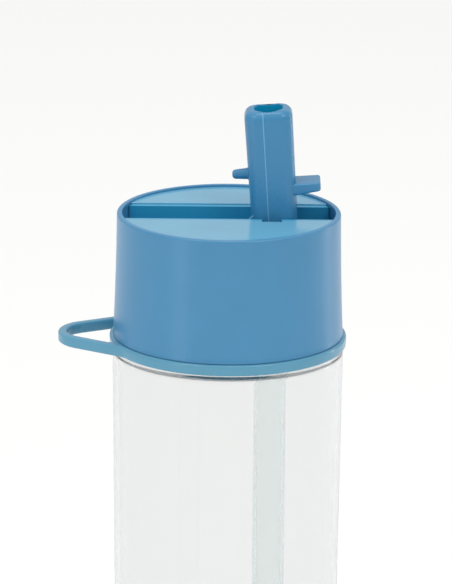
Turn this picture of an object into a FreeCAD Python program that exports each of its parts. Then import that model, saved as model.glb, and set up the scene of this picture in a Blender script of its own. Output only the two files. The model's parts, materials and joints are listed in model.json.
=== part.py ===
"""Flip-spout drinking bottle: a clear bottle with a screw lid, a fold-down spout, a straw and a carry loop.

Millimetres, +Z up. The origin is the middle of the base, on the surface the bottle stands on.
The lid's slot runs along X, and the spout folds down in it towards -X about an axis along Y.
"""
import FreeCAD
import Part

import math
import os

from FreeCAD import Rotation
from FreeCAD import Vector

UP = Vector(0, 0, 1)
CENTRE = Vector(0, 0, 0)
SPUN = 360

# bottle
BASE_R = 33.6            # the wall tapers evenly from the shoulder down to the base
SHOULDER_R = 35.2
SHOULDER_Z = 145.0       # flat ledge that the carry loop lies on
SHOULDER_ROUND = 2.2
FOOT_ROUND = 5.0
FOOT_INNER_R = 22.0
PUSH_UP = 2.4            # how far the middle of the base is domed in
WALL = 1.9
COLLAR_R = 30.35         # short collar at the neck's root that the carry loop turns on
COLLAR_TOP = 148.0
NECK_R = 28.6
NECK_BORE_R = 26.4
LIP_Z = 161.0
LIP_ROUND = 0.7

# screw thread, right hand, one start
PITCH = 4.0
THREAD_DEPTH = 1.4
THREAD_FOOT = 2.4
THREAD_CREST = 1.2
THREAD_TURNS = 1.25
THREAD_START = 35.0      # degrees about Z
THREAD_Z = 152.6
THREAD_BITE = 0.3        # how far a ridge is sunk into the wall that carries it

# carry loop
LOOP_GAP = 0.3
LOOP_TOP = 148.7
RING_BORE_R = 30.4
RING_R = 36.1
EYE_CENTRE_R = 40.8      # middle of the loop's round tip, from the bottle's axis
EYE_R = 11.1
STRAP = 2.85
ARM_SLOPE = math.radians(30.1)
ARM_REACH = 22.0
LOOP_HEADING = 177.5     # degrees about Z at rest
JUNCTION_ROUND = 8.0
EYE_CORNER_ROUND = 2.2
LOOP_EDGE_ROUND = 0.8

# lid shell
SHELL_BOTTOM = 148.8
RIM_Z = 186.8
SHELL_FOOT_R = 35.0
SHELL_WAIST_R = 34.3
SHELL_WAIST_Z = 168.0
SHELL_RIM_R = 34.0
SHELL_WALL = 1.65
DECK_Z = 186.05
DECK_THICK = 2.0
RIM_ROUND = 0.5
FOOT_CHAMFER = 0.3

# slot in the lid
SLOT_Y = 3.15
SLOT_HALF = 7.15         # inside of the trough
OPENING_HALF = 9.55      # gap between the two deck plates
LEDGE_DROP = 0.4         # trough walls' tops below the deck
TROUGH_HALF = 9.45
FLOOR_Z = 171.7
FLOOR_THICK = 1.8
TROUGH_END_R = 31.0
END_WALL_TOP = 180.0     # the shell closes the slot's ends above this
CORE_R = 32.1

# lid core
BULKHEAD_Z = 163.0
BULKHEAD_THICK = 2.0
SKIRT_BOTTOM = 149.2
SKIRT_BORE_R = NECK_R + THREAD_DEPTH + 0.4
SKIRT_R = 32.1
SHELF_THICK = 1.4
SHELF_LAP = 2.4
RIB_COUNT = 12
RIB_WIDTH = 1.6
RIB_REACH = 0.7
RIB_TALL = 9.0

# spout, in its own frame: u across the fold, v along the hinge, w along the spout
HINGE_X = 13.0
HINGE_Z = 178.45
LEAN = 3.7               # degrees past upright, towards the fold, at rest
SPOUT_LEFT = -5.7
SPOUT_RIGHT = 8.15
SPOUT_FLARE_LEFT = 0.55  # how much further out each side is at the tip
SPOUT_FLARE_RIGHT = 0.25
SPOUT_HALF_DEEP = 6.85
SPOUT_TOP = 40.3
SPOUT_CORNER = 4.0
SPOUT_TOP_ROUND = 2.8
HUB_R = 7.4
HUB_ROUND = 0.5
CAM_R = 9.6              # click-stop cam round the hub
CAM_THICK = 1.4
CAM_V = -5.35            # its front face, along the hinge
CAM_ROUND = 0.3
TRUNNION_R = 2.75
TRUNNION_REACH = 11.15
TRUNNION_CHAMFER = 0.4
MOUTH_U = 1.2
MOUTH_HALF_WIDE = 4.25
MOUTH_HALF_DEEP = 5.15
MOUTH_V = 0.2            # the mouth sits a little towards the back
MOUTH_CORNER = 3.6
MOUTH_DEPTH = 14.0
FUNNEL_R = 4.2
FUNNEL_LOW = 8.0
PORT_R = 2.9
TAB_TIP = 15.75
TAB_HALF_DEEP = 5.4
TAB_TOP = 17.1
TAB_ROOT_BOTTOM = 13.65
TAB_TIP_BOTTOM = 14.6
TAB_ROUND = 0.6
PEG_W = 20.0
PEG_TIP = -10.85
PEG_ROOT_R = 1.8
PEG_TIP_R = 1.35

# hinge seats, seal, vent and straw
SEAT_CLEARANCE = 0.05
SNAP_HALF = 2.6          # throat above the seat that the trunnion snaps past
SNAP_RISE = 3.6
GROOVE_HALF = 2.95
GROOVE_REACH = 11.45
BLOCK_HALF = 6.0
BLOCK_WALL = 1.5
POCKET_R = 7.7
CAM_CLEARANCE = 0.3
CAM_BOX_WALL = 1.5
SEAL_R = 5.5
SEAL_CLEARANCE = 0.1
SEAL_SEAT_Z = 167.4
TOWER_R = 7.9            # carries the seal between the bulkhead and the trough's floor
BOSS_R = 8.0
BOSS_BOTTOM = 161.4
NIPPLE_R = 3.7
NIPPLE_BOTTOM = 150.0
BARB_R = 3.84
STRAW_R = 4.9
STRAW_BORE_R = 3.85
STRAW_TOP = 161.3
STRAW_BOTTOM = 8.5
STRAW_SLANT = 30.0
VENT_X = HINGE_X - PEG_W
VENT_WELL_X = VENT_X - 0.8
VENT_WELL_R = 4.2
VENT_WELL_WALL = 1.4
GROMMET_R = 2.2
GROMMET_FLANGE_R = 3.2
GROMMET_HOLE_R = 0.7
GROMMET_TOP = 167.4
GASKET_INNER_R = 26.0
GASKET_R = 29.8
GASKET_GAP = 0.02


def at(r, z):
    """A point of a turned profile: radius, height."""
    return Vector(r, 0, z)


def chain(*legs):
    """A closed profile's edges. A leg is the next point, or (a point on the arc, next point)."""
    edges = []
    here = legs[0]
    for leg in legs[1:] + (legs[0],):
        if isinstance(leg, tuple):
            edges.append(Part.Arc(here, leg[0], leg[1]).toShape())
            here = leg[1]
        else:
            edges.append(Part.LineSegment(here, leg).toShape())
            here = leg
    return edges


def turned(*legs):
    """The solid of revolution of a closed profile about Z."""
    face = Part.Face(Part.Wire(chain(*legs)))
    return face.revolve(CENTRE, UP, SPUN)


def round_point(middle_r, middle_z, radius, degrees):
    """A point on a rounding's arc, given its centre in the profile."""
    angle = math.radians(degrees)
    return at(middle_r + radius * math.cos(angle), middle_z + radius * math.sin(angle))


def dome_point(edge_r, edge_z, top_z):
    """The halfway point of the arc from a dome's top, on the axis, to its edge. The dome is spherical."""
    rise = top_z - edge_z
    sphere_r = (edge_r**2 + rise**2) / (2 * rise)
    r = edge_r / 2
    return at(r, top_z - sphere_r + math.sqrt(sphere_r**2 - r**2))


def circles(shape, radius):
    """The circular edges of a shape that have a given radius."""
    found = []
    for edge in shape.Edges:
        if edge.Degenerated or edge.Curve.TypeId != "Part::GeomCircle":
            continue
        if abs(edge.Curve.Radius - radius) < 0.01:
            found.append(edge)
    return found


def rod(radius, length, base=CENTRE, direction=UP):
    return Part.makeCylinder(radius, length, base, direction)


def block(x0, x1, y0, y1, z0, z1):
    return Part.makeBox(x1 - x0, y1 - y0, z1 - z0, Vector(x0, y0, z0))


def ridge(root_r, crest_r, bite, z, turns, heading):
    """A helical thread ridge that starts at height z, from its wall at root_r to its crest."""
    into = math.copysign(bite, root_r - crest_r)
    corners = [
        Vector(root_r + into, 0, -THREAD_FOOT / 2),
        Vector(crest_r, 0, -THREAD_CREST / 2),
        Vector(crest_r, 0, THREAD_CREST / 2),
        Vector(root_r + into, 0, THREAD_FOOT / 2),
    ]
    profile = Part.makePolygon(corners + corners[:1])
    helix = Part.Wire(Part.makeHelix(PITCH, PITCH * turns, root_r))
    swept = helix.makePipeShell([profile], True, True)
    swept.rotate(CENTRE, UP, heading)
    swept.translate(Vector(0, 0, z))
    return swept


def wall_r(z):
    """Outer radius of the bottle's tapered wall at height z."""
    side = SHOULDER_Z - SHOULDER_ROUND
    return BASE_R + (SHOULDER_R - BASE_R) * (z - FOOT_ROUND) / (side - FOOT_ROUND)


def bottle_body():
    side = SHOULDER_Z - SHOULDER_ROUND
    floor = 3.4
    under = SHOULDER_Z - 2.4
    flare = 4.0
    inside = [wall_r(z) - WALL for z in (floor + 6.2, side - 16.0)]
    foot_r = BASE_R - FOOT_ROUND
    shoulder_in = SHOULDER_R - SHOULDER_ROUND
    lip_out = NECK_R - LIP_ROUND
    lip_in = NECK_BORE_R + LIP_ROUND
    lip_mid = LIP_Z - LIP_ROUND
    foot_in = FOOT_INNER_R + 1.2
    shell = turned(
        at(0, PUSH_UP),
        (dome_point(FOOT_INNER_R, 0.5, PUSH_UP), at(FOOT_INNER_R, 0.5)),
        (round_point(foot_in, 1.2, 1.2, -112), at(foot_in, 0)),
        at(foot_r, 0),
        (round_point(foot_r, FOOT_ROUND, FOOT_ROUND, -45), at(BASE_R, FOOT_ROUND)),
        at(SHOULDER_R, side),
        (round_point(shoulder_in, side, SHOULDER_ROUND, 45), at(shoulder_in, SHOULDER_Z)),
        at(COLLAR_R, SHOULDER_Z),
        at(COLLAR_R, COLLAR_TOP - 0.3),
        at(COLLAR_R - 0.3, COLLAR_TOP),
        at(NECK_R, COLLAR_TOP),
        at(NECK_R, lip_mid),
        (round_point(lip_out, lip_mid, LIP_ROUND, 45), at(lip_out, LIP_Z)),
        at(lip_in, LIP_Z),
        (round_point(lip_in, lip_mid, LIP_ROUND, 135), at(NECK_BORE_R, lip_mid)),
        at(NECK_BORE_R, under + flare),
        (round_point(NECK_BORE_R + flare, under + flare, flare, -135), at(NECK_BORE_R + flare, under)),
        (at(NECK_BORE_R + flare + 2.0, under - 0.9), at(inside[1] - 0.35, under - 3.6)),
        (at(inside[1] - 0.05, under - 8.0), at(inside[1], side - 16.0)),
        at(inside[0], floor + 6.2),
        (at(inside[0] - 1.5, floor + 2.1), at(inside[0] - 6.0, floor)),
        (dome_point(inside[0] - 6.0, floor, floor + 2.0), at(0, floor + 2.0)),
    )
    thread = ridge(NECK_R, NECK_R + THREAD_DEPTH, THREAD_BITE, THREAD_Z, THREAD_TURNS, THREAD_START)
    return shell.fuse(thread).removeSplitter()


def loop_outline(grow):
    """The loop's plan outside the ring, grown by an amount: a round tip along +X with two straight arms."""
    radius = EYE_R + grow
    upper = Vector(
        EYE_CENTRE_R + radius * math.sin(ARM_SLOPE), radius * math.cos(ARM_SLOPE), 0
    )
    along = Vector(-math.cos(ARM_SLOPE), math.sin(ARM_SLOPE), 0)
    upper_end = upper + along * ARM_REACH
    lower = Vector(upper.x, -upper.y, 0)
    lower_end = Vector(upper_end.x, -upper_end.y, 0)
    tip = Vector(EYE_CENTRE_R + radius, 0, 0)
    edges = [
        Part.LineSegment(upper_end, upper).toShape(),
        Part.Arc(upper, tip, lower).toShape(),
        Part.LineSegment(lower, lower_end).toShape(),
        Part.LineSegment(lower_end, upper_end).toShape(),
    ]
    return Part.Face(Part.Wire(edges))


def upright_edges(shape, test):
    """The vertical straight edges of an extruded shape whose middle passes a test."""
    picked = []
    for edge in shape.Edges:
        if edge.Curve.TypeId != "Part::GeomLine":
            continue
        ends = [v.Point for v in edge.Vertexes]
        if abs(ends[0].x - ends[1].x) + abs(ends[0].y - ends[1].y) < 1e-6:
            middle = (ends[0] + ends[1]) * 0.5
            if test(middle):
                picked.append(edge)
    return picked


def carry_loop():
    bottom = SHOULDER_Z + LOOP_GAP
    tall = LOOP_TOP - bottom
    rise = Vector(0, 0, tall)
    disc = rod(RING_R, tall, CENTRE)
    outer = disc.fuse(loop_outline(0).extrude(rise).cut(rod(RING_BORE_R, tall, CENTRE))).removeSplitter()
    on_ring = upright_edges(outer, lambda p: abs(math.hypot(p.x, p.y) - RING_R) < 0.2)
    outer = outer.makeFillet(JUNCTION_ROUND, on_ring)
    eye = loop_outline(-STRAP).extrude(rise).cut(rod(RING_R, tall, CENTRE))
    eye = eye.makeFillet(
        EYE_CORNER_ROUND, upright_edges(eye, lambda p: abs(math.hypot(p.x, p.y) - RING_R) < 0.2)
    )
    solid = outer.cut(eye).cut(rod(RING_BORE_R, tall, CENTRE)).removeSplitter()
    rims = [
        e for e in solid.Edges
        if e.BoundBox.ZLength < 1e-3
        and max(math.hypot(v.Point.x, v.Point.y) for v in e.Vertexes) > RING_BORE_R + 0.01
    ]
    solid = solid.makeFillet(LOOP_EDGE_ROUND, rims)
    solid.translate(Vector(0, 0, bottom))
    solid.rotate(CENTRE, UP, LOOP_HEADING)
    return solid


def lid_shell():
    inner_rim = SHELL_RIM_R - SHELL_WALL
    deck_under = DECK_Z - DECK_THICK
    foot_inner = SHELL_FOOT_R - SHELL_WALL
    rim_side = RIM_Z - RIM_ROUND
    lead = 0.3
    cup = turned(
        at(0, deck_under),
        at(inner_rim - 0.1, deck_under),
        (at(SHELL_WAIST_R - SHELL_WALL, SHELL_WAIST_Z), at(foot_inner, SHELL_BOTTOM)),
        at(SHELL_FOOT_R - FOOT_CHAMFER, SHELL_BOTTOM),
        at(SHELL_FOOT_R, SHELL_BOTTOM + FOOT_CHAMFER),
        (at(SHELL_WAIST_R, SHELL_WAIST_Z), at(SHELL_RIM_R, rim_side)),
        (round_point(SHELL_RIM_R - RIM_ROUND, rim_side, RIM_ROUND, 45), at(SHELL_RIM_R - RIM_ROUND, RIM_Z)),
        at(inner_rim + lead, RIM_Z),
        (round_point(inner_rim + lead, RIM_Z - lead, lead, 135), at(inner_rim, RIM_Z - lead)),
        at(inner_rim, DECK_Z),
        at(0, DECK_Z),
    )
    low = deck_under - 1
    opening = block(-SHELL_RIM_R, SHELL_RIM_R, SLOT_Y - OPENING_HALF, SLOT_Y + OPENING_HALF, low, DECK_Z + 1)
    notches = block(
        HINGE_X - GROOVE_HALF,
        HINGE_X + GROOVE_HALF,
        SLOT_Y - GROOVE_REACH,
        SLOT_Y + GROOVE_REACH,
        low,
        DECK_Z + 1,
    )
    inside = rod(inner_rim, DECK_Z + 1 - low, Vector(0, 0, low))
    return cup.cut(opening.fuse(notches).common(inside))


def spout_placement():
    """Turns the spout's frame to lean about the hinge axis, and puts it at the hinge."""
    turn = Rotation(Vector(0, 1, 0), -LEAN)
    return FreeCAD.Placement(Vector(HINGE_X, SLOT_Y, HINGE_Z), turn)


def rounded_section(u0, u1, half, corner, w):
    """A closed wire: a rectangle with round corners, level at height w."""
    points = [
        (u1 - corner, -half, u1, -half + corner, -45),
        (u1, half - corner, u1 - corner, half, 45),
        (u0 + corner, half, u0, half - corner, 135),
        (u0, -half + corner, u0 + corner, -half, -135),
    ]
    edges = []
    for k, (ax, ay, bx, by, mid) in enumerate(points):
        cx = (u1 - corner) if k < 2 else (u0 + corner)
        cy = (half - corner) if k in (1, 2) else (-half + corner)
        angle = math.radians(mid)
        middle = Vector(cx + corner * math.cos(angle), cy + corner * math.sin(angle), w)
        edges.append(Part.Arc(Vector(ax, ay, w), middle, Vector(bx, by, w)).toShape())
        nx, ny = points[(k + 1) % 4][:2]
        edges.append(Part.LineSegment(Vector(bx, by, w), Vector(nx, ny, w)).toShape())
    return Part.Wire(edges)


def spout_stem():
    stem = Part.makeLoft(
        [
            rounded_section(SPOUT_LEFT, SPOUT_RIGHT, SPOUT_HALF_DEEP, SPOUT_CORNER, 0),
            rounded_section(
                SPOUT_LEFT - SPOUT_FLARE_LEFT,
                SPOUT_RIGHT + SPOUT_FLARE_RIGHT,
                SPOUT_HALF_DEEP,
                SPOUT_CORNER,
                SPOUT_TOP,
            ),
        ],
        True,
        True,
    )
    top = [e for e in stem.Edges if e.BoundBox.ZMin > SPOUT_TOP - 0.01]
    return stem.makeFillet(SPOUT_TOP_ROUND, top)


def spout_tab():
    side = [
        Vector(SPOUT_RIGHT - 2.5, -TAB_HALF_DEEP, TAB_ROOT_BOTTOM - 0.4),
        Vector(TAB_TIP, -TAB_HALF_DEEP, TAB_TIP_BOTTOM),
        Vector(TAB_TIP, -TAB_HALF_DEEP, TAB_TOP),
        Vector(SPOUT_RIGHT - 2.5, -TAB_HALF_DEEP, TAB_TOP),
    ]
    tab = Part.Face(Part.makePolygon(side + side[:1])).extrude(Vector(0, 2 * TAB_HALF_DEEP, 0))
    outside = [e for e in tab.Edges if e.BoundBox.XMax > TAB_TIP - 0.01]
    return tab.makeFillet(TAB_ROUND, outside)


def spout_peg():
    root = SPOUT_LEFT + 1.5
    tip = PEG_TIP + PEG_TIP_R
    shank = Part.makeCone(PEG_ROOT_R, PEG_TIP_R, root - tip, Vector(root, 0, PEG_W), Vector(-1, 0, 0))
    return shank.fuse(Part.makeSphere(PEG_TIP_R, Vector(tip, 0, PEG_W)))


def spout_bore():
    """An oval mouth, then a funnel that narrows to the round port in the hub."""
    low = SPOUT_TOP - MOUTH_DEPTH
    outline = rounded_section(-MOUTH_HALF_WIDE, MOUTH_HALF_WIDE, MOUTH_HALF_DEEP, MOUTH_CORNER, 0)
    mouth = Part.Face(outline).extrude(Vector(0, 0, MOUTH_DEPTH + 1))
    mouth.translate(Vector(MOUTH_U, MOUTH_V, low))
    funnel = Part.makeLoft(
        [
            Part.Wire(Part.makeCircle(FUNNEL_R, Vector(MOUTH_U, 0, low + 1), UP)),
            Part.Wire(Part.makeCircle(PORT_R, Vector(0, 0, FUNNEL_LOW), UP)),
        ],
        True,
        True,
    )
    port = rod(PORT_R, FUNNEL_LOW + HUB_R + 1, Vector(0, 0, -HUB_R - 1))
    return mouth.fuse([funnel, port])


def flip_spout():
    hinge = Vector(0, 1, 0)
    hub = rod(HUB_R, 2 * SPOUT_HALF_DEEP, Vector(0, -SPOUT_HALF_DEEP, 0), hinge)
    hub = hub.makeFillet(HUB_ROUND, circles(hub, HUB_R))
    cam = rod(CAM_R, CAM_THICK, Vector(0, CAM_V, 0), hinge)
    cam = cam.makeFillet(CAM_ROUND, circles(cam, CAM_R))
    trunnions = rod(TRUNNION_R, 2 * TRUNNION_REACH, Vector(0, -TRUNNION_REACH, 0), hinge)
    trunnions = trunnions.makeChamfer(TRUNNION_CHAMFER, circles(trunnions, TRUNNION_R))
    spout = spout_stem().fuse([hub, cam, trunnions, spout_tab(), spout_peg()])
    spout = spout.cut(spout_bore()).removeSplitter()
    spout.Placement = spout_placement()
    return spout


def slot_block(half_x, half_y, z0, z1, middle_x=0.0):
    """A block centred on the slot's middle line."""
    return block(middle_x - half_x, middle_x + half_x, SLOT_Y - half_y, SLOT_Y + half_y, z0, z1)


def cam_space(grow):
    """The disc that the cam turns in, grown by an amount all round."""
    foot = Vector(HINGE_X, SLOT_Y + CAM_V - grow, HINGE_Z)
    return rod(CAM_R + grow, CAM_THICK + 2 * grow, foot, Vector(0, 1, 0))


def hinge_grooves():
    """The cut through both trough walls that the trunnions drop down and seat in."""
    foot = Vector(HINGE_X, SLOT_Y - GROOVE_REACH, HINGE_Z)
    seat = rod(TRUNNION_R + SEAT_CLEARANCE, 2 * GROOVE_REACH, foot, Vector(0, 1, 0))
    throat_top = HINGE_Z + SNAP_RISE
    throat = slot_block(SNAP_HALF, GROOVE_REACH, HINGE_Z, throat_top, HINGE_X)
    lead = slot_block(GROOVE_HALF, GROOVE_REACH, throat_top, DECK_Z, HINGE_X)
    return seat.fuse([throat, lead])


def core_trough():
    """The channel that the spout folds into: two walls, a floor, end walls, hinge blocks and a hub pocket."""
    top = DECK_Z - LEDGE_DROP
    deck_under = DECK_Z - DECK_THICK
    bulkhead_top = BULKHEAD_Z + BULKHEAD_THICK
    low = bulkhead_top - 0.5
    under_floor = FLOOR_Z - FLOOR_THICK
    along_hinge = Vector(0, 1, 0)
    hub_foot = Vector(HINGE_X, SLOT_Y - SLOT_HALF, HINGE_Z)
    drum = rod(CORE_R, top - low, Vector(0, 0, low))
    walls = drum.common(slot_block(CORE_R, TROUGH_HALF, low, top))
    void = slot_block(CORE_R, SLOT_HALF, low, under_floor)
    shelf = rod(CORE_R, SHELF_THICK, Vector(0, 0, deck_under - SHELF_THICK)).common(
        slot_block(CORE_R, TROUGH_HALF + SHELF_LAP, 0, deck_under)
    )
    hinge_block = slot_block(BLOCK_HALF, GROOVE_REACH + BLOCK_WALL, HINGE_Z - BLOCK_HALF, deck_under, HINGE_X)
    cam_box = cam_space(CAM_CLEARANCE + CAM_BOX_WALL)
    cam_box = cam_box.common(slot_block(CORE_R, SLOT_HALF + 0.5, low, under_floor))
    tower = rod(TOWER_R, under_floor - low, Vector(HINGE_X, SLOT_Y, low))
    well_wall = rod(VENT_WELL_R + VENT_WELL_WALL, under_floor - low, Vector(VENT_WELL_X, SLOT_Y, low))
    solid = walls.cut(void).fuse([shelf, hinge_block, cam_box, tower, well_wall])
    ends_open = slot_block(CORE_R + 1, SLOT_HALF, END_WALL_TOP, top + 1)
    channel = slot_block(CORE_R, SLOT_HALF, FLOOR_Z, top + 1).common(rod(TROUGH_END_R, top + 1))
    pocket = rod(POCKET_R, 2 * SLOT_HALF, hub_foot, along_hinge)
    well = rod(VENT_WELL_R, FLOOR_Z, Vector(VENT_WELL_X, SLOT_Y, bulkhead_top))
    well = well.common(slot_block(CORE_R, SLOT_HALF, 0, FLOOR_Z + 1))
    return solid.cut(channel.fuse([ends_open, pocket, cam_space(CAM_CLEARANCE), well, hinge_grooves()]))


def core_cap():
    """The bulkhead over the bottle's mouth with the skirt that carries the inside thread."""
    top = BULKHEAD_Z + BULKHEAD_THICK
    cap = turned(
        at(0, top),
        at(SKIRT_R, top),
        at(SKIRT_R, SKIRT_BOTTOM),
        at(SKIRT_BORE_R + 0.5, SKIRT_BOTTOM),
        at(SKIRT_BORE_R, SKIRT_BOTTOM + 0.5),
        at(SKIRT_BORE_R, BULKHEAD_Z),
        at(0, BULKHEAD_Z),
    )
    ribs = []
    rib_top = SKIRT_BOTTOM + RIB_TALL
    rib = block(SKIRT_R - 0.3, SKIRT_R + RIB_REACH, -RIB_WIDTH / 2, RIB_WIDTH / 2, SKIRT_BOTTOM, rib_top)
    for k in range(RIB_COUNT):
        turned_rib = rib.copy()
        turned_rib.rotate(CENTRE, UP, k * SPUN / RIB_COUNT)
        ribs.append(turned_rib)
    return cap.fuse(ribs)


def lid_core():
    thread_z = THREAD_Z - PITCH / 4
    heading = THREAD_START + 90
    thread = ridge(SKIRT_BORE_R, SKIRT_BORE_R - THREAD_DEPTH, THREAD_BITE, thread_z, THREAD_TURNS, heading)
    boss = rod(BOSS_R, BULKHEAD_Z + 1 - BOSS_BOTTOM, Vector(HINGE_X, SLOT_Y, BOSS_BOTTOM))
    nipple = rod(NIPPLE_R, BOSS_BOTTOM - NIPPLE_BOTTOM, Vector(HINGE_X, SLOT_Y, NIPPLE_BOTTOM))
    barbs = [
        Part.makeCone(NIPPLE_R, BARB_R, 1.6, Vector(HINGE_X, SLOT_Y, NIPPLE_BOTTOM + 1.2 + 3.2 * k))
        for k in range(2)
    ]
    core = core_cap().fuse([core_trough(), boss, nipple] + barbs)
    seal_seat = rod(SEAL_R, FLOOR_Z - SEAL_SEAT_Z, Vector(HINGE_X, SLOT_Y, SEAL_SEAT_Z))
    port = rod(PORT_R, HINGE_Z - NIPPLE_BOTTOM, Vector(HINGE_X, SLOT_Y, NIPPLE_BOTTOM - 1))
    vent_hole = rod(GROMMET_R, 2 * BULKHEAD_THICK, Vector(VENT_X, SLOT_Y, BULKHEAD_Z - 1))
    core = core.cut(seal_seat.fuse([port, vent_hole]))
    return core.fuse(thread).removeSplitter()


def lid_gasket():
    return turned(
        at(GASKET_INNER_R, LIP_Z + GASKET_GAP),
        at(GASKET_R, LIP_Z + GASKET_GAP),
        at(GASKET_R, BULKHEAD_Z),
        at(GASKET_INNER_R, BULKHEAD_Z),
    )


def spout_seal():
    puck = rod(SEAL_R, FLOOR_Z - SEAL_SEAT_Z, Vector(HINGE_X, SLOT_Y, SEAL_SEAT_Z))
    puck = puck.cut(rod(PORT_R, HUB_R, Vector(HINGE_X, SLOT_Y, SEAL_SEAT_Z - 1)))
    hub = rod(HUB_R + SEAL_CLEARANCE, 2 * HUB_R, Vector(HINGE_X, SLOT_Y - HUB_R, HINGE_Z), Vector(0, 1, 0))
    return puck.cut(hub.fuse(cam_space(CAM_CLEARANCE)))


def vent_grommet():
    grommet = turned(
        at(GROMMET_HOLE_R, BULKHEAD_Z - 0.6),
        at(GROMMET_FLANGE_R - 0.4, BULKHEAD_Z - 0.6),
        at(GROMMET_FLANGE_R, BULKHEAD_Z),
        at(GROMMET_R, BULKHEAD_Z),
        at(GROMMET_R, BULKHEAD_Z + BULKHEAD_THICK),
        at(GROMMET_FLANGE_R, BULKHEAD_Z + BULKHEAD_THICK),
        at(GROMMET_FLANGE_R - 0.15, GROMMET_TOP),
        at(1.2, GROMMET_TOP),
        at(GROMMET_HOLE_R, GROMMET_TOP - 0.5),
    )
    grommet.translate(Vector(VENT_X, SLOT_Y, 0))
    return grommet


def drinking_straw():
    foot = Vector(HINGE_X, SLOT_Y, STRAW_BOTTOM)
    tube = rod(STRAW_R, STRAW_TOP - STRAW_BOTTOM, foot).cut(rod(STRAW_BORE_R, STRAW_TOP, foot))
    slant = Part.makeBox(40, 40, 20, Vector(-20, -20, -20))
    slant.rotate(CENTRE, Vector(0, 1, 0), -STRAW_SLANT)
    slant.translate(foot + Vector(-STRAW_R, 0, 0))
    return tube.cut(slant)


NODES = {
    "bottle_body": bottle_body,
    "carry_loop": carry_loop,
    "lid_shell": lid_shell,
    "lid_core": lid_core,
    "lid_gasket": lid_gasket,
    "flip_spout": flip_spout,
    "spout_seal": spout_seal,
    "vent_grommet": vent_grommet,
    "drinking_straw": drinking_straw,
}


def main():
    os.makedirs("parts", exist_ok=True)
    for name, make in NODES.items():
        shape = make()
        box = shape.optimalBoundingBox()
        print(
            f"{name}: {len(shape.Solids)} solid, valid {shape.isValid()}, {shape.Volume / 1000:.2f} cm3,"
            f" x {box.XMin:.1f}..{box.XMax:.1f} y {box.YMin:.1f}..{box.YMax:.1f}"
            f" z {box.ZMin:.1f}..{box.ZMax:.1f}"
        )
        shape.exportStep(f"parts/{name}.step")


if __name__ == "__main__":
    main()
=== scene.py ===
import json
import math

import bmesh
import bpy
import numpy as np
from mathutils import Matrix, Vector


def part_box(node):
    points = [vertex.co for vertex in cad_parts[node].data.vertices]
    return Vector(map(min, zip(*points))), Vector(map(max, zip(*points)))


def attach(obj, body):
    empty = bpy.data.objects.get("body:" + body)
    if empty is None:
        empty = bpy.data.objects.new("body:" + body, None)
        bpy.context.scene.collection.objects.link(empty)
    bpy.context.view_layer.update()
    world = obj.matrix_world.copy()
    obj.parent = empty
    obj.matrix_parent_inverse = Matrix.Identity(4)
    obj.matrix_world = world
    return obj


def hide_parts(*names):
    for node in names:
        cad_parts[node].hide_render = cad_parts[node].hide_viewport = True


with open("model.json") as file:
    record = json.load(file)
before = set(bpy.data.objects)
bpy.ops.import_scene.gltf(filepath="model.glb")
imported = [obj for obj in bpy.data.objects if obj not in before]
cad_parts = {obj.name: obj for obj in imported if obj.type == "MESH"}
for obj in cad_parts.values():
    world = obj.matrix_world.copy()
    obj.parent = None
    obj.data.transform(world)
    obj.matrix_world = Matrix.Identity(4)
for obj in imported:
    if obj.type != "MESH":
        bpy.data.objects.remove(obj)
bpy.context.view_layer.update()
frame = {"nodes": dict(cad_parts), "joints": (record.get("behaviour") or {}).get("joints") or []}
mm = 0.001
print("frame loaded:", len(frame["nodes"]), "nodes")


def roundedPath(corners, steps=8, closed=False):
    # A line through corners (a, b, radius), each corner replaced by an arc with a guard point on either side.
    pts = np.array([c[:2] for c in corners], float)
    radii = [c[2] if len(c) > 2 else 0.0 for c in corners]
    count = len(pts)
    out = []
    for i in range(count):
        p, r = pts[i], radii[i]
        if r <= 0 or (not closed and i in (0, count - 1)):
            out.append(p[None])
            continue
        back, ahead = pts[i - 1] - p, pts[(i + 1) % count] - p
        back, ahead = back / np.linalg.norm(back), ahead / np.linalg.norm(ahead)
        half = math.acos(np.clip(back @ ahead, -1, 1)) / 2
        reach = r / math.tan(half)
        centre = p + (back + ahead) / np.linalg.norm(back + ahead) * r / math.sin(half)
        start, end = p + back * reach - centre, p + ahead * reach - centre
        a0, a1 = math.atan2(start[1], start[0]), math.atan2(end[1], end[0])
        turn = (a1 - a0 + math.pi) % (2 * math.pi) - math.pi
        angles = a0 + turn * np.linspace(0, 1, steps + 1)
        arc = centre + r * np.stack([np.cos(angles), np.sin(angles)], 1)
        guard = min(0.25 * r, 0.15 * mm)
        out.append(np.vstack([p + back * (reach + guard), arc, p + ahead * (reach + guard)]))
    return np.vstack(out)


def gridFaces(rows, columns, wrapRows, wrapColumns):
    # Quads between neighbouring points of a rows by columns grid, wrapped round where asked.
    i = np.arange(rows if wrapRows else rows - 1)[:, None]
    j = np.arange(columns if wrapColumns else columns - 1)[None, :]
    i2, j2 = (i + 1) % rows, (j + 1) % columns
    corners = (i * columns + j, i2 * columns + j, i2 * columns + j2, i * columns + j2)
    quads = np.stack(np.broadcast_arrays(*corners), -1)
    return quads.reshape(-1, 4)


def smoothPiece(name, parts, material, body, stands=(), sharp=40):
    # One object from several (points, faces) surfaces, smooth-shaded but for edges sharper than the angle.
    points = np.vstack([p for p, f in parts])
    starts = np.cumsum([0] + [len(p) for p, f in parts[:-1]])
    faces = [row for (p, f), s in zip(parts, starts) for row in (np.asarray(f) + s).tolist()]
    mesh = bpy.data.meshes.new(name)
    mesh.from_pydata(points.tolist(), [], faces)
    mesh.validate()
    weld(mesh)
    return finishPiece(name, mesh, material, body, stands, sharp)


def weld(mesh):
    # Closes seams and poles, and drops the faces that a pole left with no area.
    work = bmesh.new()
    work.from_mesh(mesh)
    bmesh.ops.remove_doubles(work, verts=work.verts, dist=1e-7)
    bmesh.ops.dissolve_degenerate(work, edges=work.edges, dist=1e-8)
    work.to_mesh(mesh)
    work.free()


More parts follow.
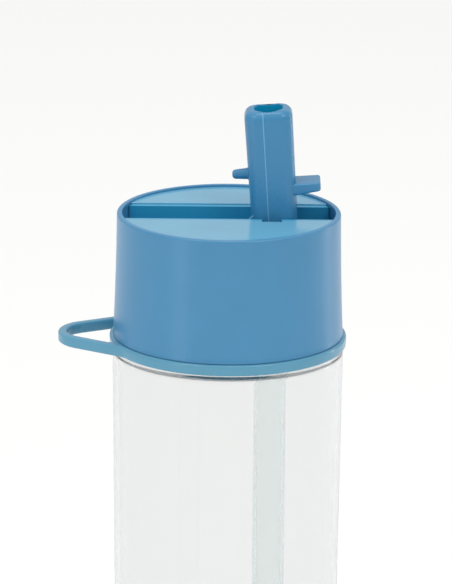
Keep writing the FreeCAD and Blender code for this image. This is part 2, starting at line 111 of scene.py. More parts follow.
def finishPiece(name, mesh, material, body, stands, sharp):
    # Shades the mesh smooth but for its sharp edges, and ties it to its body and to the solids it stands for.
    mesh.polygons.foreach_set("use_smooth", np.ones(len(mesh.polygons), bool))
    mesh.set_sharp_from_angle(angle=math.radians(sharp))
    mesh.materials.append(material)
    piece = bpy.data.objects.new(name, mesh)
    bpy.context.scene.collection.objects.link(piece)
    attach(piece, body)
    if stands:
        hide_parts(*stands)
    return piece


def turned(path, sides, swell=None, wrapPath=False):
    # A surface of revolution about Z: every point (r, z) of the path goes to (r cos t, r sin t, z).
    # swell adds to r as a function of the angle and the height.
    t = np.arange(sides) / sides * 2 * math.pi
    r, z = path[:, 0][None, :], path[:, 1][None, :]
    r = r + (swell(t[:, None], r, z) if swell else 0)
    grid = np.stack(np.broadcast_arrays(r * np.cos(t)[:, None], r * np.sin(t)[:, None], z), -1)
    return grid.reshape(-1, 3), gridFaces(sides, path.shape[0], True, wrapPath)


def roundedSection(halfA, halfB, corner, arcSteps=10, sideSteps=3):
    # A closed rectangle with round corners as points (a, b), anticlockwise, the same count for every size.
    q = np.linspace(0, math.pi / 2, arcSteps + 1)
    centres = [(halfA - corner, halfB - corner), (corner - halfA, halfB - corner),
               (corner - halfA, corner - halfB), (halfA - corner, corner - halfB)]
    arcs = [np.array(c) + corner * np.stack([np.cos(q + k * math.pi / 2), np.sin(q + k * math.pi / 2)], 1)
            for k, c in enumerate(centres)]
    w = np.linspace(0, 1, sideSteps + 2)[1:-1, None]
    sides = [arcs[k][-1] * (1 - w) + arcs[(k + 1) % 4][0] * w for k in range(4)]
    return np.vstack([v for pair in zip(arcs, sides) for v in pair])


def capped(rings):
    # A closed skin over a stack of equal rings, with both ends drawn in to a point.
    first, last = rings[0].mean(0), rings[-1].mean(0)
    shape = rings[0].shape
    stack = np.stack([np.broadcast_to(first, shape), *rings, np.broadcast_to(last, shape)])
    return stack.reshape(-1, 3), gridFaces(stack.shape[0], stack.shape[1], False, True)


def newMaterial(name):
    # A material with its node lists. Noise, tint and gloss are added below.
    material = bpy.data.materials.new(name)
    material.use_nodes = True
    return material, material.node_tree.nodes, material.node_tree.links


def noise(nodes, links, scale, detail):
    # A noise that is fixed to the piece, as a value from 0 to 1.
    place = nodes.new("ShaderNodeTexCoord")
    cloud = nodes.new("ShaderNodeTexNoise")
    cloud.inputs["Scale"].default_value = scale
    cloud.inputs["Detail"].default_value = detail
    links.new(place.outputs["Object"], cloud.inputs["Vector"])
    return cloud.outputs["Fac"]


def tinted(nodes, links, value, shader, low, high):
    # The base colour goes from one colour to the other as the value rises between the two positions.
    tint = nodes.new("ShaderNodeValToRGB")
    for end, (position, colour) in zip(tint.color_ramp.elements, (low, high)):
        end.position = position
        end.color = (*colour, 1)
    links.new(value, tint.inputs["Fac"])
    links.new(tint.outputs["Color"], shader.inputs["Base Color"])


def uneven(nodes, links, value, shader, low, high):
    # The roughness goes from low to high with the value.
    gloss = nodes.new("ShaderNodeMapRange")
    gloss.inputs["To Min"].default_value = low
    gloss.inputs["To Max"].default_value = high
    links.new(value, gloss.inputs["Value"])
    links.new(gloss.outputs["Result"], shader.inputs["Roughness"])


moulding = {
    "ior": 1.49, "cloudScale": 45, "cloudDetail": 3, "cloudLow": 0.3, "cloudHigh": 0.7, "paler": 1.04,
    "deeper": 0.96, "glossLow": 0.9, "glossHigh": 1.12, "grainScale": 2600, "grainDetail": 2,
    "grainDeep": 0.05 * mm,
}
plastic = {
    "lidWall": {"colour": (0.06, 0.255, 0.465), "rough": 0.3, "grain": 0.05},
    # A paler copy of the lid wall's blue for the up-facing deck: painted light from above.
    "deck": {"colour": (0.145, 0.42, 0.61), "rough": 0.14, "grain": 0.008},
    "trough": {"colour": (0.03, 0.34, 0.58), "rough": 0.3, "grain": 0.03},
    "spout": {"colour": (0.043, 0.235, 0.44), "rough": 0.26, "grain": 0.03},
    "loop": {"colour": (0.1, 0.32, 0.47), "rough": 0.18, "grain": 0.03},
    # A paler copy of the spout's blue for the parting line: a painted highlight.
    "seamGlint": {"colour": (0.15, 0.4, 0.62), "rough": 0.25, "grain": 0.01},
    # Below: the spout's plastic made brighter and more cyan for the mouth's inside, painted bounce light.
    "bore": {"colour": (0.005, 0.36, 0.6), "rough": 0.3, "grain": 0.02},
}


def mouldedPlastic(name, colour, rough, grain):
    # Coloured polypropylene: faint clouding in the pigment, fine spark-eroded grain, uneven sheen.
    m = moulding
    material, nodes, links = newMaterial(name)
    shader = nodes["Principled BSDF"]
    shader.inputs["IOR"].default_value = m["ior"]
    cloud = noise(nodes, links, m["cloudScale"], m["cloudDetail"])
    low, high = [c * m["deeper"] for c in colour], [c * m["paler"] for c in colour]
    tinted(nodes, links, cloud, shader, (m["cloudLow"], low), (m["cloudHigh"], high))
    uneven(nodes, links, cloud, shader, rough * m["glossLow"], rough * m["glossHigh"])
    fine = noise(nodes, links, m["grainScale"], m["grainDetail"])
    bump = nodes.new("ShaderNodeBump")
    bump.inputs["Strength"].default_value = grain
    bump.inputs["Distance"].default_value = m["grainDeep"]
    links.new(fine, bump.inputs["Height"])
    links.new(bump.outputs["Normal"], shader.inputs["Normal"])
    return material


hazePatch = {"scale": 60, "detail": 2}
clear = {
    "bottle": {"colour": (0.94, 0.944, 0.934), "rough": 0.004, "haze": 0.02, "ior": 1.33,
               "deep": (0.8, 0.82, 0.89), "dense": 75},
    "straw": {"colour": (0.945, 0.965, 0.955), "rough": 0.04, "haze": 0.08, "ior": 1.16,
              "deep": (0.76, 0.82, 0.88), "dense": 90},
}


def clearPlastic(name, colour, rough, haze, ior, deep, dense):
    # Clear moulded plastic: it bends what is behind it a little, darkens where light passes through more of it,
    # and carries a trace of haze that comes and goes in patches.
    material, nodes, links = newMaterial(name)
    shader = nodes["Principled BSDF"]
    shader.inputs["Base Color"].default_value = (*colour, 1)
    shader.inputs["Transmission Weight"].default_value = 1
    shader.inputs["IOR"].default_value = ior
    patches = noise(nodes, links, hazePatch["scale"], hazePatch["detail"])
    uneven(nodes, links, patches, shader, rough, haze)
    soak = nodes.new("ShaderNodeVolumeAbsorption")
    soak.inputs["Color"].default_value = (*deep, 1)
    soak.inputs["Density"].default_value = dense
    links.new(soak.outputs["Volume"], nodes["Material Output"].inputs["Volume"])
    return material


rubber = {"ior": 1.41, "clearness": 0.25, "dustScale": 400, "dustDetail": 4, "milky": (0.66, 0.69, 0.7),
          "dusty": (0.82, 0.84, 0.84), "glossLow": 0.42, "glossHigh": 0.6}


def siliconeRubber(name, r):
    # Milky translucent silicone with a dusty bloom.
    material, nodes, links = newMaterial(name)
    shader = nodes["Principled BSDF"]
    shader.inputs["IOR"].default_value = r["ior"]
    shader.inputs["Transmission Weight"].default_value = r["clearness"]
    dust = noise(nodes, links, r["dustScale"], r["dustDetail"])
    tinted(nodes, links, dust, shader, (0, r["milky"]), (1, r["dusty"]))
    uneven(nodes, links, dust, shader, r["glossLow"], r["glossHigh"])
    return material


lidBlue = mouldedPlastic("lidBlue", **plastic["lidWall"])
# The deck's paler blue is painted light on the lid's top face.
deckLitBlue = mouldedPlastic("deckLitBlue", **plastic["deck"])
troughBlue = mouldedPlastic("troughBlue", **plastic["trough"])
spoutBlue = mouldedPlastic("spoutBlue", **plastic["spout"])
loopBlue = mouldedPlastic("loopBlue", **plastic["loop"])
# The parting line's paler blue: a painted highlight.
seamGlintBlue = mouldedPlastic("seamGlintBlue", **plastic["seamGlint"])
# The mouth's inside: a brighter copy of the spout's blue, painted bounce light.
mouthBounceBlue = mouldedPlastic("mouthBounceBlue", **plastic["bore"])
bottleClear = clearPlastic("bottleClear", **clear["bottle"])
strawClear = clearPlastic("strawClear", **clear["straw"])
silicone = siliconeRubber("silicone", rubber)
print("materials made")


bottle = {
    "baseR": 33.6 * mm, "shoulderR": 35.2 * mm, "shoulderZ": 145 * mm, "wall": 1.9 * mm, "floorZ": 3.4 * mm,
    "neckR": 28.6 * mm, "boreR": 26.4 * mm, "collarR": 30.35 * mm, "collarTop": 148 * mm, "sides": 320,
    "threadZ": 152.6 * mm, "pitch": 4 * mm, "turns": 1.25, "threadStart": math.radians(35),
    "threadDeep": 1.4 * mm, "threadFoot": 1.2 * mm, "threadCrest": 0.6 * mm, "threadRow": 0.2 * mm,
    "threadFade": 0.15,
    # Corners of the hollow under the base and of the floor inside, in mm: radius, height, round.
    "dome": [(0, 2.4), (9, 2.4, 30), (21, 0.7, 3), (23, 0, 0.8)],
    "floor": [(16, 0, 12), (6, 2, 12), (0, 2)],
    "baseRound": 5 * mm, "shoulderRound": 1 * mm, "lipRound": 0.7 * mm, "floorRound": 5.5 * mm,
    "shoulderThick": 1.3 * mm, "shoulderIn": 1.2 * mm, "sideDrop": 16 * mm,
}


def bottlePiece(b):
    # One profile turned about Z: under the base, up the outside and the neck, over the lip and down the inside.
    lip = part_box("bottle_body")[1][2]
    wall, shoulder = b["wall"], b["shoulderZ"]
    under = shoulder - b["shoulderThick"]
    lower, upper = b["baseR"] - wall, b["shoulderR"] - wall - 0.15 * mm
    neckRows = [(b["neckR"], z) for z in np.arange(b["collarTop"] + 0.8 * mm, lip - 1.2 * mm, b["threadRow"])]
    dome = [tuple(size * mm for size in corner) for corner in b["dome"]]
    floor = [(corner[0] * mm, b["floorZ"] + corner[1] * mm, *[size * mm for size in corner[2:]])
             for corner in b["floor"]]
    path = np.vstack([
        roundedPath([
            *dome, (b["baseR"], 0, b["baseRound"]), (b["shoulderR"], shoulder, b["shoulderRound"]),
            (b["collarR"], shoulder, 0.15 * mm), (b["collarR"], b["collarTop"], 0.3 * mm),
            (b["neckR"], b["collarTop"], 0.2 * mm), (b["neckR"], b["collarTop"] + 0.6 * mm)]),
        neckRows,
        roundedPath([
            (b["neckR"], lip - 1.1 * mm), (b["neckR"], lip, b["lipRound"]), (b["boreR"], lip, b["lipRound"]),
            (b["boreR"], under, b["shoulderIn"]), (b["shoulderR"] - wall, under - 0.1 * mm, b["shoulderIn"]),
            (upper, shoulder - b["sideDrop"]), (lower, b["floorZ"], b["floorRound"]), *floor], steps=10),
    ])

    def threadRidge(t, r, z):
        # A ridge whose middle climbs one pitch a turn, flat on top with sloping flanks, faded at both ends.
        turn = (t - b["threadStart"]) % (2 * math.pi)
        outside = (abs(r - b["neckR"]) < 1e-6) & (z > b["collarTop"])
        high = np.zeros(np.broadcast(t, z).shape)
        for lap in range(2):
            gone = turn + lap * 2 * math.pi
            away = abs(z - b["threadZ"] - b["pitch"] * gone / (2 * math.pi))
            flank = np.clip((b["threadFoot"] - away) / (b["threadFoot"] - b["threadCrest"]), 0, 1)
            end = b["turns"] * 2 * math.pi
            fade = np.clip(gone / b["threadFade"], 0, 1) * np.clip((end - gone) / b["threadFade"], 0, 1)
            high = np.maximum(high, flank * fade)
        return high * b["threadDeep"] * outside

    skin = turned(path, b["sides"], threadRidge)
    return smoothPiece("clear_bottle", [skin], bottleClear, "bottle", ["bottle_body"])


bottlePiece(bottle)
print("bottle made")


straw = {"outR": 4.9 * mm, "inR": 3.85 * mm, "slant": math.radians(30), "lipRound": 0.25 * mm, "sides": 72}


def strawPiece(s):
    # A tube whose foot is cut on a slant: each row's height slides from the slanted foot to the level top.
    low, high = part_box("drinking_straw")
    middle = (np.array(low) + high) / 2
    length = high[2] - low[2]
    lip = s["lipRound"]
    path = roundedPath([(s["outR"], 0, lip), (s["outR"], length, lip), (s["inR"], length, lip),
                        (s["inR"], 0, lip)], steps=4, closed=True)
    points, faces = turned(path, s["sides"], wrapPath=True)
    foot = (points[:, 0] + s["outR"]) * math.tan(s["slant"])
    points[:, 2] = low[2] + foot + points[:, 2] * (length - foot) / length
    points[:, :2] += middle[:2]
    return smoothPiece("clear_straw", [(points, faces)], strawClear, "lid", ["drinking_straw"])


strawPiece(straw)
print("straw made")


loop = {
    "boreR": 30.4 * mm, "ringR": 36.08 * mm, "eyeAt": 40.8 * mm, "eyeR": 11.08 * mm, "strap": 2.85 * mm,
    "slope": math.radians(30.1), "blend": 8 * mm, "corner": 1.1 * mm, "edge": 0.8 * mm,
    "heading": math.radians(177.5),
}


def arcPoints(centre, radius, start, end, steps):
    # Points evenly spaced on a circle's arc.
    angles = np.linspace(start, end, steps)
    return np.array(centre) + radius * np.stack([np.cos(angles), np.sin(angles)], 1)


def loopOutline(l, tipR, tuck):
    # Half of an outline round the eye: off the ring, round the junction, along the straight arm, round the tip.
    # tuck is the junction's radius, negative where the rounding lies on the window's side of the arm.
    out = np.array([math.sin(l["slope"]), math.cos(l["slope"])])
    along = np.array([-math.cos(l["slope"]), math.sin(l["slope"])])
    far = l["eyeAt"] * out[0] + tipR + tuck
    reach = l["ringR"] + abs(tuck)
    centre = far * out - math.sqrt(reach**2 - far**2) * along
    onRing = -centre
    onArm = -out * np.sign(tuck)
    a0, a1 = math.atan2(onRing[1], onRing[0]), math.atan2(onArm[1], onArm[0])
    turn = (a1 - a0 + math.pi) % (2 * math.pi) - math.pi
    junction = arcPoints(centre, abs(tuck), a0, a0 + turn, 14)
    tip = arcPoints((l["eyeAt"], 0), tipR, math.pi / 2 - l["slope"], 0, 40)
    return np.vstack([junction, tip])


def loopPiece(l):
    # A flat curve filled between the outline, the window and the ring's bore, made thick with rounded edges.
    low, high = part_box("carry_loop")
    tall = high[2] - low[2]
    outer = loopOutline(l, l["eyeR"], l["blend"])
    join = math.atan2(outer[0, 1], outer[0, 0])
    back = arcPoints((0, 0), l["ringR"], 2 * math.pi - join, join, 260)[1:-1]
    window = loopOutline(l, l["eyeR"] - l["strap"], -l["corner"])
    hinge = math.atan2(window[0, 1], window[0, 0])
    inner = arcPoints((0, 0), l["ringR"], -hinge, hinge, 24)[1:-1]
    flip = np.array([1, -1])
    lines = [
        np.vstack([outer, (outer * flip)[::-1][1:], back]),
        np.vstack([window, (window * flip)[::-1][1:], inner]),
        arcPoints((0, 0), l["boreR"], 0, 2 * math.pi, 241)[:-1],
    ]
    curve = bpy.data.curves.new("loopPlan", "CURVE")
    curve.dimensions = "2D"
    curve.fill_mode = "BOTH"
    curve.extrude = tall / 2 - l["edge"]
    curve.bevel_depth = l["edge"]
    curve.bevel_resolution = 4
    curve.offset = -l["edge"]
    for line in lines:
        spline = curve.splines.new("POLY")
        spline.points.add(len(line) - 1)
        flat = np.column_stack([line, np.zeros(len(line)), np.ones(len(line))])
        spline.points.foreach_set("co", flat.ravel())
        spline.use_cyclic_u = True
    plan = bpy.data.objects.new("loopPlan", curve)
    mesh = bpy.data.meshes.new_from_object(plan)
    bpy.data.objects.remove(plan)
    mesh.transform(Matrix.Translation((0, 0, low[2] + tall / 2)) @ Matrix.Rotation(l["heading"], 4, "Z"))
    mesh.materials.clear()
    weld(mesh)
    piece = finishPiece("strap_loop", mesh, loopBlue, "carry_loop", ["carry_loop"], 50)
    flatten(piece)
    return piece


def flatten(piece):
    # Keeps broad flat faces flat beside their rounded edges.
    weigh = piece.modifiers.new("flatFaces", "WEIGHTED_NORMAL")
    weigh.keep_sharp = True
    weigh.weight = 100


loopPiece(loop)
print("carry loop made")


lid = {
    "footR": 35 * mm, "waistR": 34.3 * mm, "waistZ": 168 * mm, "rimR": 34 * mm, "wall": 1.65 * mm,
    "rimRound": 0.7 * mm, "rimInRound": 0.35 * mm, "footRound": 0.12 * mm, "footInRound": 0.25 * mm,
    "deckDrop": 0.75 * mm, "deckThick": 2 * mm, "deckTuck": 0.4 * mm, "slotY": 3.15 * mm, "slotHalf": 9.55 * mm,
    "notchX": 13 * mm, "notchHalf": 2.95 * mm, "notchReach": 11.45 * mm, "deckEdge": 0.22 * mm, "sides": 288,
}


def flared(l, low, high, z):
    # The lid's radius at height z: the parabola through the foot, the waist and the rim.
    return np.interp(z, *quadratic((low, l["footR"]), (l["waistZ"], l["waistR"]), (high, l["rimR"])))


def quadratic(a, b, c):
    # Samples the parabola through three points.
    z = np.linspace(a[0], c[0], 60)
    fit = np.polyfit([a[0], b[0], c[0]], [a[1], b[1], c[1]], 2)
    return z, np.polyval(fit, z)


def lidWallPiece(l):
    # A closed profile turned about Z: up the outside, over the rim, down the inside and round the foot.
    low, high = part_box("lid_shell")[0][2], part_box("lid_shell")[1][2]
    z = np.linspace(low + 0.8 * mm, high - 1.2 * mm, 34)
    outside = np.stack([flared(l, low, high, z), z], 1)
    inside = outside[::-1] - [l["wall"], 0]
    rimIn = l["rimR"] - l["wall"]
    footIn = l["footR"] - l["wall"]
    rim = roundedPath([(l["rimR"], high - 1.1 * mm), (l["rimR"], high, l["rimRound"]),
                       (rimIn, high, l["rimInRound"]), (rimIn, high - 1.1 * mm)])
    foot = roundedPath([(footIn, low + 0.7 * mm), (footIn, low, l["footInRound"]),
                        (l["footR"], low, l["footRound"]), (l["footR"], low + 0.7 * mm)])
    path = np.vstack([outside, rim, inside, foot])
    return smoothPiece("lid_wall", [turned(path, l["sides"], wrapPath=True)], lidBlue, "lid", ["lid_shell"])


def deckPlate(name, l, side):
    # A flat plate between the rim and one edge of the slot, notched where the spout's trunnion drops in.
    # side is -1 for the front plate and 1 for the back one.
    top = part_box("lid_shell")[1][2] - l["deckDrop"]
    reach = l["rimR"] - l["wall"] + l["deckTuck"]
    edgeY, notchY = l["slotY"] + side * l["slotHalf"], l["slotY"] + side * l["notchReach"]
    start = math.asin(edgeY / reach)
    first, last = (start, math.pi - start) if side > 0 else (math.pi - start, 2 * math.pi + start)
    arc = arcPoints((0, 0), reach, first, last, 90)
    left, right = l["notchX"] - l["notchHalf"], l["notchX"] + l["notchHalf"]
    notch = [(left, edgeY), (left, notchY), (right, notchY), (right, edgeY)]
    line = np.vstack([arc, notch if side > 0 else notch[::-1]])
    count = len(line)
    points = np.vstack([np.column_stack([line, np.full(count, z)]) for z in (top - l["deckThick"], top)])
    ring = np.arange(count)
    walls = np.stack([ring, np.roll(ring, -1), np.roll(ring, -1) + count, ring + count], 1)
    mesh = bpy.data.meshes.new(name)
    mesh.from_pydata(points.tolist(), [], walls.tolist() + [ring[::-1].tolist(), (ring + count).tolist()])
    # The paler deck blue: painted light on the up-facing top.
    piece = finishPiece(name, mesh, deckLitBlue, "lid", [], 60)
    soften(piece, l["deckEdge"])
    return piece


def soften(piece, width):
    # A small round on every crisp edge.
    bevel = piece.modifiers.new("softEdges", "BEVEL")
    bevel.width = width
    bevel.segments = 3
    bevel.limit_method = "ANGLE"
    bevel.angle_limit = math.radians(50)
    bevel.harden_normals = True


lidWallPiece(lid)
deckPlate("deck_front", lid, -1)
deckPlate("deck_back", lid, 1)
print("lid made")


spout = {
    "lean": math.radians(3.7), "left": -5.7 * mm, "right": 8.15 * mm, "flareLeft": 0.55 * mm,
    "flareRight": 0.25 * mm, "halfDeep": 6.85 * mm, "top": 40.27 * mm, "corner": 4 * mm, "topRound": 2.8 * mm,
    "stemFoot": -2 * mm, "mouthU": 1.2 * mm, "mouthV": 0.2 * mm, "mouthHalfWide": 4.25 * mm,
    "mouthHalfDeep": 5.15 * mm, "mouthCorner": 4.1 * mm, "mouthLip": 0.45 * mm, "mouthDeep": 14 * mm,
    "funnelR": 4.1 * mm, "funnelLow": 8 * mm, "portR": 2.9 * mm, "boreEnd": -6.5 * mm,
    "hubR": 7.4 * mm, "hubInset": 0.06 * mm, "camR": 9.6 * mm, "camThick": 1.4 * mm, "camFace": 5.35 * mm,
    "trunnionR": 2.75 * mm, "trunnionReach": 11.15 * mm,
    "tabTip": 15.75 * mm, "tabHalf": 5.4 * mm, "tabTop": 17.1 * mm, "tabRoot": 13.65 * mm, "tabEnd": 14.6 * mm,
    "tabRound": 0.55 * mm, "tabCorner": 1.3 * mm, "tabSunk": 2.5 * mm,
    "pegAt": 20 * mm, "pegTip": -10.85 * mm, "pegRootR": 1.75 * mm, "pegFillet": 0.6 * mm, "pegTipR": 1.35 * mm,
    "pegRound": 1.1 * mm, "seamU": -0.55 * mm, "seamHalf": 0.19 * mm, "seamHigh": 0.17 * mm,
    "seamSunk": 0.02 * mm,
}
hinge = Vector(next(j for j in frame["joints"] if j["name"] == "spout_fold")["pos_m"])


def fromSpout(points, s):
    # From the spout's own axes (across, along the hinge, up the spout) to its leaning place on the lid.
    u, v, w = points[:, 0], points[:, 1], points[:, 2]
    c, n = math.cos(s["lean"]), math.sin(s["lean"])
    return np.stack([hinge.x + u * c - w * n, hinge.y + v, hinge.z + u * n + w * c], 1)


def stemSkin(s):
    # Rounded-rectangle rings up the stem, drawn in over the top edge, then oval rings down the mouth to the
    # round port. The rings' height sags where the mouth cuts into the rounded top edge.
    r = s["topRound"]

    def ring(w, inset):
        left = s["left"] - s["flareLeft"] * w / s["top"]
        right = s["right"] + s["flareRight"] * w / s["top"]
        flat = roundedSection((right - left) / 2 - inset, s["halfDeep"] - inset, s["corner"] - inset)
        return np.column_stack([flat[:, 0] + (left + right) / 2, flat[:, 1], np.full(len(flat), w)])

    def mouthRing(grow, drop):
        flat = roundedSection(s["mouthHalfWide"] + grow, s["mouthHalfDeep"] + grow, s["mouthCorner"] + grow)
        flat = flat + [s["mouthU"], s["mouthV"]]
        past = np.clip(abs(flat[:, 1]) - (s["halfDeep"] - r), 0, r * 0.98)
        sag = r - np.sqrt(r**2 - past**2)
        return np.column_stack([flat, s["top"] - sag - drop])

    over = np.linspace(0, math.radians(64), 12)
    heights = np.concatenate([[s["stemFoot"], 0], np.linspace(2 * mm, s["top"] - r - 0.3 * mm, 12)])
    rings = [ring(w, 0) for w in heights]
    rings += [ring(s["top"] - r + r * math.sin(a), r * (1 - math.cos(a))) for a in over]
    lip = s["mouthLip"]
    bend = np.linspace(0, math.pi / 2, 7)
    rings += [mouthRing(lip * (1 - math.sin(a)), lip * (1 - math.cos(a))) for a in bend]
    rings += [mouthRing(0, lip + 0.3 * mm)]
    low = s["top"] - s["mouthDeep"]
    rings.append(np.column_stack([mouthRing(0, 0)[:, :2], np.full(len(rings[0]), low)]))
    flat = roundedSection(1, 1, 0.9)
    angles = np.arctan2(flat[:, 1], flat[:, 0])
    for radius, middleU, w in [(s["funnelR"], s["mouthU"], low - 0.1 * mm), (s["portR"], 0, s["funnelLow"]),
                               (s["portR"], 0, s["boreEnd"]), (0, 0, s["boreEnd"])]:
        across, deep = middleU + radius * np.cos(angles), radius * np.sin(angles)
        rings.append(np.column_stack([across, deep, np.full(len(angles), w)]))
    rings.insert(0, np.broadcast_to(rings[0].mean(0), rings[0].shape))
    stack = np.stack(rings)
    faces = gridFaces(stack.shape[0], stack.shape[1], False, True)
    return stack.reshape(-1, 3), faces[:, ::-1]


def hubSkin(s):
    # The hub, its click-stop cam and both trunnions, turned about the hinge.
    half, reach, face = s["halfDeep"] - s["hubInset"], s["trunnionReach"], s["camFace"]
    thin, thick = s["trunnionR"], s["hubR"]
    path = roundedPath([
        (0, -reach), (thin, -reach, 0.4 * mm), (thin, -half, 0.3 * mm), (thick, -half, 0.4 * mm),
        (thick, half, 0.4 * mm), (thin, half, 0.3 * mm), (thin, reach, 0.4 * mm), (0, reach)], steps=6)
    cam = roundedPath([(0, face - s["camThick"]), (s["camR"], face - s["camThick"], 0.3 * mm),
                       (s["camR"], face, 0.3 * mm), (0, face)], steps=5)
    skins = [turned(path, 128), turned(cam, 160)]
    return [(points[:, [0, 2, 1]] * [1, -1, 1], faces) for points, faces in skins]


def tabSkin(s):
    # A tapering tongue: rounded sections from inside the stem to the tip, drawn in there by a small round
    # in section and a larger one in plan.
    root, tip, small, wide = s["right"], s["tabTip"], s["tabRound"], s["tabCorner"]
    ends = tip - wide * (1 - np.sin(np.linspace(0, math.pi / 2 - 0.04, 14)))
    spots = np.concatenate([np.linspace(root - s["tabSunk"], tip - wide - 0.3 * mm, 7), ends])

    def drawnIn(radius, at):
        # How far a quarter round before the tip has come in.
        return radius - math.sqrt(max(radius**2 - max(at - tip + radius, 0)**2, 0))

    rings = []
    for at in spots:
        low = s["tabRoot"] + (s["tabEnd"] - s["tabRoot"]) * (at - root) / (tip - root)
        half = (s["tabTop"] - low) / 2 - drawnIn(small, at)
        flat = roundedSection(s["tabHalf"] - drawnIn(wide, at), half, min(small, half * 0.9), 5, 2)
        up = flat[:, 1] + (s["tabTop"] + low) / 2
        rings.append(np.column_stack([np.full(len(flat), at), flat[:, 0], up]))
    points, faces = capped(rings)
    return points, faces[:, ::-1]


def pegSkin(s):
    # The vent peg, turned about its own axis: a filleted root, a slight taper and a round tip.
    face = s["left"] - s["flareLeft"] * s["pegAt"] / s["top"]
    long = face - s["pegTip"]
    wide = s["pegRootR"] + s["pegFillet"]
    path = roundedPath([(0, -1 * mm), (wide, -1 * mm), (wide, 0, 0.05 * mm),
                        (s["pegRootR"], 0, s["pegFillet"]), (s["pegTipR"], long, s["pegRound"]), (0, long)])
    points, faces = turned(path, 56)
    return np.stack([face - points[:, 2], points[:, 1], points[:, 0] + s["pegAt"]], 1), faces


def seamSkin(s):
    # The mould's parting line: a low half-round ridge up the front and the back of the stem and on to its
    # rounded top edge, its underside sunk a little below the stem's face.
    r = s["topRound"]
    bend = np.linspace(0, math.radians(60), 10)
    high = np.concatenate([[s["stemFoot"], 14 * mm, 26 * mm], s["top"] - r + r * np.sin(bend)])
    deep = np.concatenate([[s["halfDeep"]] * 3, s["halfDeep"] - r * (1 - np.cos(bend))])
    lean = np.concatenate([[0, 0, 0], bend])
    a = np.linspace(0, math.pi, 9)
    rise = s["seamHigh"] * np.sin(a)[None, :] - s["seamSunk"]
    across = np.broadcast_to(s["seamU"] + s["seamHalf"] * np.cos(a)[None, :], (len(high), len(a)))
    skins = []
    for side in (-1, 1):
        out = side * (deep[:, None] + rise * np.cos(lean)[:, None])
        up = high[:, None] + rise * np.sin(lean)[:, None]
        points, faces = capped(list(np.stack([across, out, up], -1)))
        skins.append((points, faces if side < 0 else faces[:, ::-1]))
    return skins


def spoutPiece(s):
    # Stem, tab, peg, hub and cam as closed skins that sink into each other, in one mesh.
    skins = [stemSkin(s), tabSkin(s), pegSkin(s)] + hubSkin(s)
    placed = [(fromSpout(points, s), faces) for points, faces in skins]
    piece = smoothPiece("folding_spout", placed, spoutBlue, "spout", ["flip_spout"])
    # Second slot: the mouth's painted bounce light.
    piece.data.materials.append(mouthBounceBlue)
    paintMouthBounce(piece, s)
    return piece


def paintMouthBounce(piece, s):
    # Gives the mouth's wall, below its rim and inside its outline, a brighter, more saturated blue than the
    # stem's: painted bounce light for the light reflected round inside the mouth.
    middles = np.empty(len(piece.data.polygons) * 3)
    piece.data.polygons.foreach_get("center", middles)
    across, deep, up = middles.reshape(-1, 3).T
    c, n = math.cos(s["lean"]), math.sin(s["lean"])
    u = (across - hinge.x) * c + (up - hinge.z) * n
    w = (up - hinge.z) * c - (across - hinge.x) * n
    v = deep - hinge.y
    grow = 0.05 * mm
    inside = abs(u - s["mouthU"]) < s["mouthHalfWide"] + grow
    inside &= abs(v - s["mouthV"]) < s["mouthHalfDeep"] + grow
    below = (w < s["top"] - s["mouthLip"]) & (w > 0)
    wall = inside & below & (abs(u) < s["right"] - 2 * mm)
    piece.data.polygons.foreach_set("material_index", wall.astype(int))


def seamPiece(s):
    # A piece of its own, because it takes a paler blue than the stem: a painted highlight along the ridge.
    placed = [(fromSpout(points, s), faces) for points, faces in seamSkin(s)]
    return smoothPiece("spout_mould_line", placed, seamGlintBlue, "spout")


spoutPiece(spout)
seamPiece(spout)
print("spout made")


def paint(node, material):
    # Puts a material in every slot of a solid kept as it comes.
    piece = frame["nodes"][node]
    for slot in piece.material_slots:
        slot.material = material


paint("lid_core", troughBlue)
for node in ("lid_gasket", "spout_seal", "vent_grommet"):
    paint(node, silicone)
print("inner pieces painted")


studio = {
    "floor": (0.93, 0.93, 0.92), "floorRough": 0.8, "floorHalf": 6, "horizon": 0.47, "zenith": 0.99,
    # Each light's name, place, target, size in metres and power in watts.
    "lights": [
        ("overhead", (0, 0.2, 3), (0, 0, 0.15), (0.8, 0.6), 10),
        ("frontLeft", (-1.4, -1.4, 2.6), (0, 0, 0.17), (0.9, 0.9), 12),
        ("frontRight", (1.4, -1.4, 2.6), (0, 0, 0.17), (0.9, 0.9), 12),
        ("leftStrip", (-0.55, -0.5, 0.2), (0, 0, 0.1), (0.07, 0.5), 0.35),
        ("rightStrip", (0.62, 0.33, 0.2), (0, 0, 0.1), (0.07, 0.5), 0.35),
    ],
    "pitch": math.radians(15.85), "roll": math.radians(0.5), "away": 1.704, "target": (-0.0007, 0, 0.1615),
    "lens": 345.2,
}


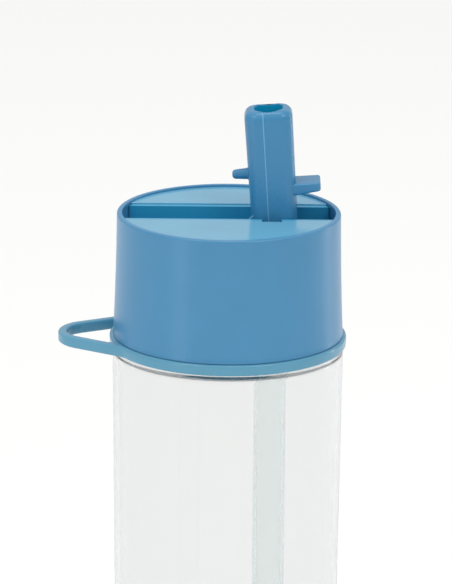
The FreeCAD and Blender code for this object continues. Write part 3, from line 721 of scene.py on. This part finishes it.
def floorPiece():
    # A plain square, far wider than the view.
    half = studio["floorHalf"]
    mesh = bpy.data.meshes.new("floor")
    corners = [(-half, -half, 0), (half, -half, 0), (half, half, 0), (-half, half, 0)]
    mesh.from_pydata(corners, [], [(0, 1, 2, 3)])
    material, nodes = newMaterial("paleFloor")[:2]
    shader = nodes["Principled BSDF"]
    shader.inputs["Base Color"].default_value = (*studio["floor"], 1)
    shader.inputs["Roughness"].default_value = studio["floorRough"]
    mesh.materials.append(material)
    floor = bpy.data.objects.new("floor", mesh)
    bpy.context.scene.collection.objects.link(floor)


def softLight(name, place, target, size, power):
    # A rectangular soft box that faces its target.
    data = bpy.data.lights.new(name, "AREA")
    data.shape = "RECTANGLE"
    data.size, data.size_y = size
    data.energy = power
    light = bpy.data.objects.new(name, data)
    light.location = place
    light.rotation_euler = (Vector(target) - Vector(place)).to_track_quat("-Z", "Y").to_euler()
    bpy.context.scene.collection.objects.link(light)


def skyLight():
    # A white dome that is brightest overhead, so that the floor is lit more than upright walls.
    world = bpy.data.worlds.new("studio")
    world.use_nodes = True
    nodes, links = world.node_tree.nodes, world.node_tree.links
    place = nodes.new("ShaderNodeTexCoord")
    split = nodes.new("ShaderNodeSeparateXYZ")
    links.new(place.outputs["Generated"], split.inputs["Vector"])
    ramp = nodes.new("ShaderNodeMapRange")
    ramp.inputs["To Min"].default_value = studio["horizon"]
    ramp.inputs["To Max"].default_value = studio["zenith"]
    links.new(split.outputs["Z"], ramp.inputs["Value"])
    back = nodes["Background"]
    back.inputs["Color"].default_value = (1, 1, 1, 1)
    links.new(ramp.outputs["Result"], back.inputs["Strength"])
    bpy.context.scene.world = world


def cameraView():
    # A long lens looking down at the target, rolled a touch about its own axis.
    pitch, target = studio["pitch"], Vector(studio["target"])
    data = bpy.data.cameras.new("camera")
    data.lens = studio["lens"]
    data.sensor_width = 36
    data.clip_end = 50
    camera = bpy.data.objects.new("camera", data)
    turn = Matrix.Rotation(math.pi / 2 - pitch, 4, "X") @ Matrix.Rotation(studio["roll"], 4, "Z")
    place = target + studio["away"] * Vector((0, -math.cos(pitch), math.sin(pitch)))
    camera.matrix_world = Matrix.Translation(place) @ turn
    bpy.context.scene.collection.objects.link(camera)
    bpy.context.scene.camera = camera


floorPiece()
skyLight()
for light in studio["lights"]:
    softLight(*light)
cameraView()
bpy.context.scene.view_settings.view_transform = "Standard"
print("studio set")
